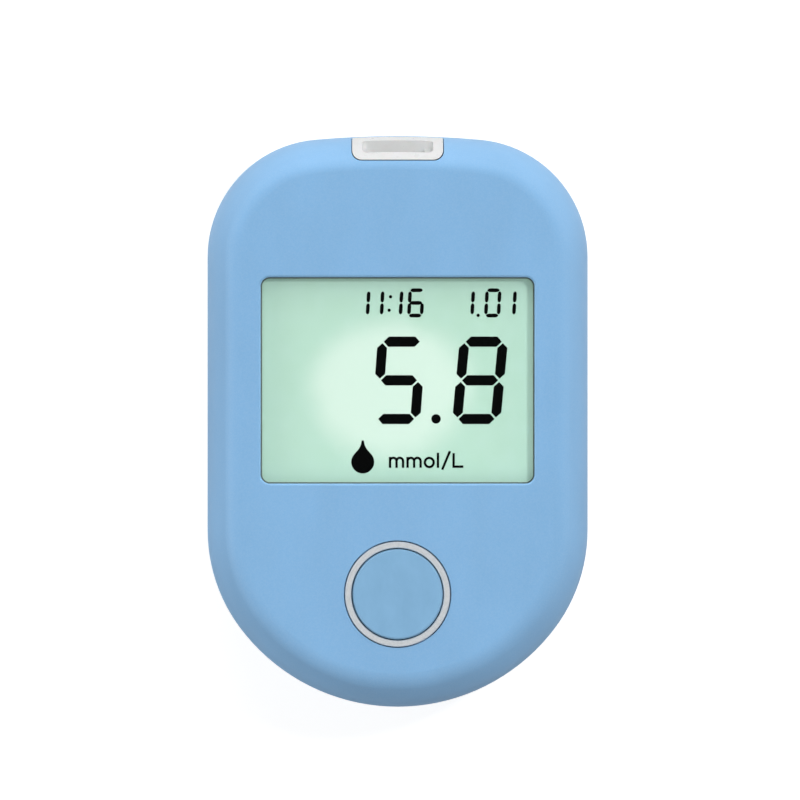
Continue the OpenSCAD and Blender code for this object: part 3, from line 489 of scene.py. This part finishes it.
def cell_wrap(node, nub_at_port):
    """A cell's printed sleeve between bare metal ends, with one pale band near its nub."""
    m = Material("wrap_" + node)
    low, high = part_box(node)
    y = m.axes(m.place)[1]
    if nub_at_port:
        from_nub = m.math("SUBTRACT", high.y, y)
        from_base = m.math("SUBTRACT", y, low.y)
    else:
        from_nub = m.math("SUBTRACT", y, low.y)
        from_base = m.math("SUBTRACT", high.y, y)
    scuffs = m.noise(m.stretched(1, 0.15, 1), 0.7 * MM, 4, 0.65)
    grain = m.noise(m.place, 0.25 * MM, 3)
    sleeve = m.mix(m.spread(grain), colour(214, 120, 44), colour(226, 134, 54))
    band = m.math("MULTIPLY", m.span(from_nub, BAND_START, BAND_START + 0.1 * MM),
                  m.span(from_nub, BAND_END + 0.1 * MM, BAND_END))
    sleeve = m.mix(band, sleeve, colour(238, 236, 228))
    sleeve = m.mix(m.span(scuffs, 0.62, 0.72, 0.0, 0.35), sleeve, colour(196, 188, 180))
    bare = m.math("MAXIMUM", m.span(from_nub, END_METAL + 0.05 * MM, END_METAL),
                  m.span(from_base, BASE_METAL + 0.05 * MM, BASE_METAL))
    base = m.mix(bare, sleeve, colour(204, 206, 208))
    rough = m.math("ADD", m.spread(scuffs, 0.22, 0.36), m.math("MULTIPLY", bare, 0.04))
    return m.set(base_color=base, metallic=m.span(bare, 0, 1, 0.35, 1.0), roughness=rough,
                 normal=m.bump(grain, 0.003 * MM))


# ---------------------------------------------------------------- plates and strokes


def soften(points, share):
    """Outline with each corner cut into a short curve."""
    curve = []
    for i, (x, y) in enumerate(points):
        before = points[i - 1]
        after = points[(i + 1) % len(points)]
        for part in (1, 0.5, 0):
            start = (x + share * part * (before[0] - x), y + share * part * (before[1] - y))
            end_part = 1 - part
            end = (share * end_part * (after[0] - x), share * end_part * (after[1] - y))
            curve.append((start[0] + end[0] * end_part, start[1] + end[1] * end_part))
    return curve


def add_plate(mesh, outline, low, high):
    """Adds a flat solid with the given outline between two heights."""
    bottom = [mesh.verts.new((x, y, low)) for x, y in outline]
    top = [mesh.verts.new((x, y, high)) for x, y in outline]
    mesh.faces.new(reversed(bottom))
    mesh.faces.new(top)
    for i in range(len(outline)):
        j = (i + 1) % len(outline)
        mesh.faces.new((bottom[i], bottom[j], top[j], top[i]))


def add_stroke(mesh, path, width, low, high, closed=False):
    """Adds a flat solid of even width along a path, with mitred bends."""
    rows = []
    count = len(path)
    for i, point in enumerate(path):
        here = Vector(point)
        before = Vector(path[i - 1]) if i or closed else here
        after = Vector(path[(i + 1) % count]) if i < count - 1 or closed else here
        first = (here - before).normalized() if here != before else (after - here).normalized()
        last = (after - here).normalized() if here != after else first
        mitre = (first + last).normalized()
        side = Vector((-mitre.y, mitre.x)) * width / 2 / max(0.3, mitre.dot(first))
        ends = (here + side, here - side)
        rows.append([mesh.verts.new((end.x, end.y, z)) for end in ends for z in (low, high)])
    steps = count if closed else count - 1
    for i in range(steps):
        a = rows[i]
        b = rows[(i + 1) % count]
        mesh.faces.new((a[1], a[3], b[3], b[1]))
        mesh.faces.new((a[0], b[0], b[2], a[2]))
        mesh.faces.new((a[0], a[1], b[1], b[0]))
        mesh.faces.new((a[2], b[2], b[3], a[3]))
    if not closed:
        mesh.faces.new((rows[0][0], rows[0][2], rows[0][3], rows[0][1]))
        mesh.faces.new((rows[-1][0], rows[-1][1], rows[-1][3], rows[-1][2]))


def arc(middle, radius_x, radius_y, start, end, steps):
    """Points on an ellipse, from one angle to another in degrees."""
    points = []
    for i in range(steps + 1):
        angle = math.radians(start + (end - start) * i / steps)
        points.append((middle[0] + radius_x * math.cos(angle),
                       middle[1] + radius_y * math.sin(angle)))
    return points


def rounded_box(width, length, radius, middle_y, steps=8):
    """Points round a rectangle with round corners."""
    x = width / 2 - radius
    y = length / 2 - radius
    points = []
    for corner, (sign_x, sign_y) in enumerate(((1, 1), (-1, 1), (-1, -1), (1, -1))):
        middle = (sign_x * x, middle_y + sign_y * y)
        points += arc(middle, radius, radius, 90 * corner, 90 * corner + 90, steps)
    return points


def finish_piece(name, mesh, material, body):
    """Makes an object of a mesh under construction, and ties it to a body."""
    bmesh.ops.recalc_face_normals(mesh, faces=mesh.faces)
    data = bpy.data.meshes.new(name)
    mesh.to_mesh(data)
    mesh.free()
    data.materials.append(material)
    piece = bpy.data.objects.new(name, data)
    bpy.context.scene.collection.objects.link(piece)
    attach(piece, body)


# ---------------------------------------------------------------- display

INK_THICKNESS = 0.03 * MM

# Place of each segment in a digit: across, up, and along an upright
SEGMENTS = {
    "a": (0, 1, 0), "g": (0, 0, 0), "d": (0, -1, 0),
    "f": (-1, 0, 1), "b": (1, 0, 1), "e": (-1, 0, -1), "c": (1, 0, -1),
}
DIGITS = {"0": "abcdef", "1": "bc", "5": "acdfg", "6": "acdefg", "8": "abcdefg"}

# Large digits: the middle and slant of each, its half width and height and the middle of
# its uprights, and the half length and width of its level and its upright segments
LARGE_PX = {"5": (398.95, 380.4, 0.073), "8": (479.75, 380.4, 0.094)}
LARGE_HALF_PX = (19.15, 38.5, 19.3)
LARGE_SEGMENT_PX = ((17.9, 5.05), (17.6, 4.95))
LARGE_SOFT = 0.04
LARGE_POINT_PX = (435.9, 418.8, 4.7)

# Small digits of the time and the count, from left to right
SMALL_PX = (("1", 362.0), ("1", 375.9), ("1", 394.8), ("6", 415.8),
            ("1", 466.1), ("0", 492.4), ("1", 507.7))
SMALL_MIDDLE_PX = 303.3
SMALL_HALF_PX = (6.3, 12.6, 5.9)
SMALL_SEGMENT_PX = ((6.35, 1.85), (5.75, 1.8))
SMALL_SLANT = 0.056
SMALL_SOFT = 0.2
SMALL_POINTS_PX = ((390.6, 297.2, 1.65), (389.2, 310.6, 1.65), (477.8, 315.7, 1.65))

DROP_PX = (362.9, 461.7)
DROP_RADIUS_PX = 11.4
DROP_TIP_PX = (1.05, 21.4)
DROP_NECK_PX = (1.9, 12.6)
DROP_STEPS = 12
DROP_JOIN = 33.0
DROP_LEAN_PX = 5.5

UNIT_BASE_PX = 467.5
UNIT_HEIGHT_PX = 11.1
UNIT_TALL_PX = 15.0
UNIT_STROKE_PX = 2.35
UNIT_M_PX = (388.9, 406.4)
UNIT_M_WIDTH_PX = 15.3
UNIT_O_PX = (429.15, 462.2, 4.4, 4.55)
UNIT_L_PX = 437.8
UNIT_SLASH_PX = ((442.0, 469.4), (449.7, 450.9))
UNIT_CAPITAL_PX = (453.4, 463.1)


def segment(half_length, half_width, upright):
    """Outline of one display segment round its own middle."""
    tip = half_length
    flat = half_length - 0.94 * half_width
    points = [(-tip, 0), (-flat, -half_width), (flat, -half_width),
              (tip, 0), (flat, half_width), (-flat, half_width)]
    return [(-v, u) for u, v in points] if upright else points


def add_digit(mesh, character, place, half, sizes, softness, low, high):
    """Adds the segments of one digit: its place is the middle and the slant."""
    x, y, slant = place
    for letter in DIGITS[character]:
        across, up, along = SEGMENTS[letter]
        upright = along != 0
        outline = []
        for u, v in soften(segment(*sizes[upright], upright), softness):
            u += across * half[0]
            v += up * half[1] + along * half[2]
            outline.append(at_pixel(x + u + slant * v, y - v))
        add_plate(mesh, outline, low, high)


def add_dot(mesh, x, y, radius, low, high):
    """Adds one round dot."""
    outline = [at_pixel(*point) for point in arc((x, y), radius, radius, 360, 15, 23)]
    add_plate(mesh, outline, low, high)


def drop_outline():
    """Outline of the drop: a round bulb that flares up into a thin stem."""
    join = arc((0, 0), DROP_RADIUS_PX, DROP_RADIUS_PX, DROP_JOIN, DROP_JOIN, 1)[0]
    lean = math.radians(DROP_JOIN + 90)
    pull = (join[0] + DROP_LEAN_PX * math.cos(lean), join[1] + DROP_LEAN_PX * math.sin(lean))
    points = (DROP_TIP_PX, DROP_NECK_PX, pull, join)
    side = []
    for i in range(DROP_STEPS + 1):
        t = i / DROP_STEPS
        weights = ((1 - t) ** 3, 3 * t * (1 - t) ** 2, 3 * t * t * (1 - t), t ** 3)
        side.append(tuple(sum(w * p[k] for w, p in zip(weights, points)) for k in (0, 1)))
    bulb = arc((0, 0), DROP_RADIUS_PX, DROP_RADIUS_PX, DROP_JOIN, -90, 18)[1:]
    right = side + bulb
    left = [(-x, y) for x, y in reversed(right[:-1])]
    return [at_pixel(DROP_PX[0] + x, DROP_PX[1] - y) for x, y in right + left]


def unit_strokes():
    """Paths of the unit of measure in pixels, each with a flag for a closed one."""
    base = UNIT_BASE_PX
    half = UNIT_STROKE_PX / 2
    top = base - UNIT_HEIGHT_PX
    tall = base - UNIT_TALL_PX
    strokes = []
    for left in UNIT_M_PX:
        stems = [left + half, left + UNIT_M_WIDTH_PX / 2, left + UNIT_M_WIDTH_PX - half]
        strokes.append(([(stems[0], base), (stems[0], top + 0.3)], False))
        for start, end in zip(stems, stems[1:]):
            reach = (end - start) / 2
            spring = top + half + reach
            hump = arc((start + reach, spring), reach, -reach, 180, 0, 10)
            strokes.append((hump + [(end, base)], False))
    ring = arc(UNIT_O_PX[:2], UNIT_O_PX[2], UNIT_O_PX[3], 0, 345, 23)
    strokes.append((ring, True))
    strokes.append(([(UNIT_L_PX, base), (UNIT_L_PX, tall)], False))
    strokes.append((list(UNIT_SLASH_PX), False))
    strokes.append(([(UNIT_CAPITAL_PX[0], tall + 0.4), (UNIT_CAPITAL_PX[0], base - half),
                     (UNIT_CAPITAL_PX[1], base - half)], False))
    return strokes


def build_display(dark_layer):
    """Black figures on the display's front film."""
    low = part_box("front_polariser")[1].z
    high = low + INK_THICKNESS
    large = bmesh.new()
    for character, place in LARGE_PX.items():
        add_digit(large, character, place, LARGE_HALF_PX, LARGE_SEGMENT_PX, LARGE_SOFT, low, high)
    add_dot(large, *LARGE_POINT_PX, low, high)
    finish_piece("display_reading", large, dark_layer, "case")
    small = bmesh.new()
    for character, x in SMALL_PX:
        place = (x, SMALL_MIDDLE_PX, SMALL_SLANT)
        add_digit(small, character, place, SMALL_HALF_PX, SMALL_SEGMENT_PX, SMALL_SOFT, low, high)
    for point in SMALL_POINTS_PX:
        add_dot(small, *point, low, high)
    finish_piece("display_time", small, dark_layer, "case")
    drop = bmesh.new()
    add_plate(drop, drop_outline(), low, high)
    finish_piece("display_drop", drop, dark_layer, "case")
    unit = bmesh.new()
    for path, closed in unit_strokes():
        points = [at_pixel(*point) for point in path]
        add_stroke(unit, points, UNIT_STROKE_PX * PIXEL, low, high, closed)
    finish_piece("display_unit", unit, dark_layer, "case")


# Painted shadow: a dark strip under the lens edge stands in for the shade along the window's rim.
SHADOW_LINE_INSIDE = 0.2 * MM
SHADOW_LINE_OUTSIDE = 0.4 * MM
SHADOW_LINE_THICKNESS = 0.02 * MM


def build_painted_shadow_line(dark_layer):
    """A dark strip on the rear of the lens, just showing inside the window: a painted shadow line
    along the window's edge.
    """
    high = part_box("window_lens")[0].z
    low = high - SHADOW_LINE_THICKNESS
    width = SHADOW_LINE_INSIDE + SHADOW_LINE_OUTSIDE
    shift = SHADOW_LINE_OUTSIDE - width / 2
    path = rounded_box(WINDOW_WIDTH + 2 * shift, WINDOW_LENGTH + 2 * shift,
                       WINDOW_CORNER + shift, WINDOW_Y)
    mesh = bmesh.new()
    add_stroke(mesh, path, width, low, high, True)
    finish_piece("painted_window_shadow", mesh, dark_layer, "case")


# ---------------------------------------------------------------- CAD nodes


SHARP_ANGLE = math.radians(28)
CHIP_LEAD = 1.0 * MM


def dress(node, material):
    """Gives a CAD node its material and smooth shading between its sharp edges."""
    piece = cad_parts[node]
    data = piece.data
    data.materials.clear()
    data.materials.append(material)
    for face in data.polygons:
        face.material_index = 0
    data.shade_smooth()
    data.set_sharp_from_angle(angle=SHARP_ANGLE)


def box_of(node, margins=(0, 0, 0)):
    """Lowest and highest corner of a node, drawn in by a margin along each axis."""
    low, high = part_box(node)
    return ([low[i] + margins[i] for i in range(3)], [high[i] - margins[i] for i in range(3)])


def dress_nodes():
    """Gives each CAD node the finish of the real piece."""
    blue = housing_blue()
    film = display_film()
    glass = display_glass()
    white = frame_white()
    plated = steel()
    black = black_plastic("plastic_black")
    dress("front_shell", blue)
    dress("rear_shell", blue)
    dress("battery_door", blue)
    dress("button_cap", cap_blue())
    dress("strip_collar", collar_white())
    dress("button_ring", ring_silver())
    dress("window_lens", lens_clear())
    dress("lens_tape", black_plastic("tape_black", 0.7))
    dress("display_gasket", foam_black())
    dress("front_polariser", film)
    dress("rear_polariser", film)
    dress("front_glass", glass)
    dress("rear_glass", glass)
    dress("light_guide", guide_clear())
    dress("reflector_sheet", white)
    dress("display_frame", white)
    dress("backlight_leds", led_body())
    dress("zebra_strip", rubber_stripes())
    dress("switch_plunger", black)
    dress("tact_switch", leaded("switch_black", colour(34, 35, 38), *box_of("tact_switch")))
    dress("strip_connector", black)
    dress("strip_contacts", contact_gold())
    dress("main_board", board_green())
    chip = box_of("processor_chip", (CHIP_LEAD, CHIP_LEAD, 0))
    dress("processor_chip", leaded("chip_black", colour(30, 31, 33), *chip))
    dress("quartz_crystal", steel("crystal_case"))
    dress("buzzer", black_plastic("buzzer_black", 0.42))
    dress("small_components", component_tan())
    dress("battery_left", cell_wrap("battery_left", False))
    dress("battery_right", cell_wrap("battery_right", True))
    for node in ("case_screws", "board_screws", "contact_bridge", "contact_positive",
                 "contact_negative"):
        dress(node, plated)


# ---------------------------------------------------------------- camera, lamps and floor


def add_camera():
    """Camera straight above the meter, with the strip port at the top of the picture."""
    data = bpy.data.cameras.new("camera")
    data.sensor_width = SENSOR
    data.lens = SENSOR * CAMERA_DISTANCE / (VIEW_PX * PIXEL)
    data.clip_end = 20
    camera = bpy.data.objects.new("camera", data)
    x, y = at_pixel(VIEW_PX / 2, VIEW_PX / 2)
    camera.location = (x, y, CAMERA_DISTANCE + SCALE_HEIGHT)
    bpy.context.scene.collection.objects.link(camera)
    bpy.context.scene.camera = camera


def add_lamp(name, direction, width, level):
    """Square soft box that gives the named level on a surface turned to it, unseen in mirrors."""
    data = bpy.data.lights.new(name, "AREA")
    data.shape = "SQUARE"
    data.size = width
    data.energy = level * (math.pi * LAMP_DISTANCE) ** 2
    lamp = bpy.data.objects.new(name, data)
    towards = Vector(direction).normalized()
    lamp.location = towards * LAMP_DISTANCE
    lamp.rotation_euler = towards.to_track_quat("Z", "Y").to_euler()
    lamp.visible_camera = False
    lamp.visible_glossy = False
    bpy.context.scene.collection.objects.link(lamp)


# Heights on the sphere of the surroundings, 0 at the horizon and 1 overhead
CEILING_HEIGHT = (0.78, 0.86)
RING_HEIGHT = (0.45, 0.3)
PATCH_HEIGHT = (0.994, 0.997)
PATCH_LEVEL = 0.03


def light_world():
    """White surroundings that light the meter from a ring near the floor and from overhead.

    Camera, mirrored and refracted rays see plain white, but for a dark patch straight
    overhead that keeps reflections off the display.
    """
    world = bpy.data.worlds.new("studio")
    bpy.context.scene.world = world
    world.use_nodes = True
    w = Nodes(world.node_tree)
    background = world.node_tree.nodes["Background"]
    direction = w.add("ShaderNodeTexCoord").outputs["Generated"]
    rays = w.add("ShaderNodeLightPath").outputs
    _, y, z = w.axes(direction)
    ring = w.span(z, *RING_HEIGHT, smooth=True)
    ring = w.math("MULTIPLY", ring, w.span(y, -1, 1, 1 - PORT_SHARE, 1 + PORT_SHARE))
    ceiling = w.span(z, *CEILING_HEIGHT, 0.0, CEILING_LEVEL / (1 - CEILING_HEIGHT[0] ** 2))
    lit = w.math("ADD", w.math("MULTIPLY", ring, HORIZON_LEVEL), ceiling)
    mirrored = w.math("MAXIMUM", rays["Is Glossy Ray"], rays["Is Transmission Ray"])
    dark = w.math("MULTIPLY", w.span(z, *PATCH_HEIGHT), mirrored)
    white = w.span(dark, 0, 1, 1.0, PATCH_LEVEL)
    seen = w.math("MAXIMUM", rays["Is Camera Ray"], mirrored)
    level = w.add("ShaderNodeMix", {0: seen, 2: lit, 3: white}, data_type="FLOAT").outputs[0]
    w.join(WHITE, background.inputs["Color"])
    w.join(level, background.inputs["Strength"])


FLOOR_RADIUS = 3.0
FLOOR_DROP = 0.2 * MM
FLOOR_COLOUR = (0.42, 0.42, 0.42, 1.0)

# The floor's own light: to the camera, and to mirrors from the button end to the port end
FLOOR_SEEN = 0.8
FLOOR_MIRRORED = (-60 * MM, 60 * MM, 0.0, 0.4)

# Light from below: where the meter covers the floor, and how near the rest must be
UNDER_HALF = (23.6 * MM, 28.2 * MM)
UNDER_Y = 2.8 * MM
UNDER_LEVEL = 0.85
NEAR = 1.0 * MM


def floor_white():
    """Matt white that shines to the camera and to mirrors, and is clear when seen from below.

    Under the meter it lights the underside and what its bores and battery bay hold.
    """
    m = Material("floor")
    rays = m.add("ShaderNodeLightPath").outputs
    x, y, _ = m.axes(m.place)
    behind = m.add("ShaderNodeNewGeometry").outputs["Backfacing"]
    shown = m.math("MAXIMUM", rays["Is Glossy Ray"], rays["Is Transmission Ray"])
    shown = m.math("MULTIPLY", shown, m.span(y, *FLOOR_MIRRORED))
    shown = m.math("MAXIMUM", shown, m.math("MULTIPLY", rays["Is Camera Ray"], FLOOR_SEEN))
    off_y = m.math("ABSOLUTE", m.math("SUBTRACT", y, UNDER_Y))
    under = m.math("MULTIPLY", m.math("LESS_THAN", m.math("ABSOLUTE", x), UNDER_HALF[0]),
                   m.math("LESS_THAN", off_y, UNDER_HALF[1]))
    near = m.math("LESS_THAN", rays["Ray Length"], NEAR)
    near = m.math("MULTIPLY", near, rays["Is Diffuse Ray"])
    covered = m.math("MULTIPLY", m.math("MAXIMUM", under, near), UNDER_LEVEL)
    shown = m.math("MAXIMUM", shown, covered)
    m.set(base_color=FLOOR_COLOUR, roughness=1.0, specular_ior_level=0.0,
          emission_color=WHITE, emission_strength=shown)
    clear = m.add("ShaderNodeBsdfTransparent").outputs[0]
    below = m.math("MULTIPLY", behind, rays["Is Camera Ray"])
    both = m.add("ShaderNodeMixShader", {0: below, 1: m.shader.outputs[0], 2: clear})
    m.join(both.outputs[0], m.output.inputs["Surface"])
    return m.material


def add_floor():
    """Round floor that keeps the meter's faint shadow."""
    mesh = bmesh.new()
    rim = [mesh.verts.new((x, y, -FLOOR_DROP))
           for x, y in arc((0, 0), FLOOR_RADIUS, FLOOR_RADIUS, 0, 354, 59)]
    mesh.faces.new(rim)
    data = bpy.data.meshes.new("floor")
    mesh.to_mesh(data)
    mesh.free()
    data.materials.append(floor_white())
    floor = bpy.data.objects.new("floor", data)
    bpy.context.scene.collection.objects.link(floor)


def light_scene():
    """A small soft box at the right for the window's shadow, and large ones round the meter."""
    add_lamp("key", (0.49, 0.3, 0.82), 0.16, KEY_LEVEL)
    add_lamp("left_side", (-0.93, 0.0, 0.36), 0.8, SIDE_LEVEL)
    add_lamp("port_end", (0.0, 0.76, 0.65), 0.7, PORT_LEVEL)
    add_lamp("button_end", (0.0, -0.64, 0.77), 0.8, BUTTON_LEVEL)


add_camera()
light_world()
light_scene()
add_floor()
dress_nodes()
build_display(display_ink())
build_painted_shadow_line(painted_shadow_line())
bpy.context.scene.view_settings.view_transform = "Standard"
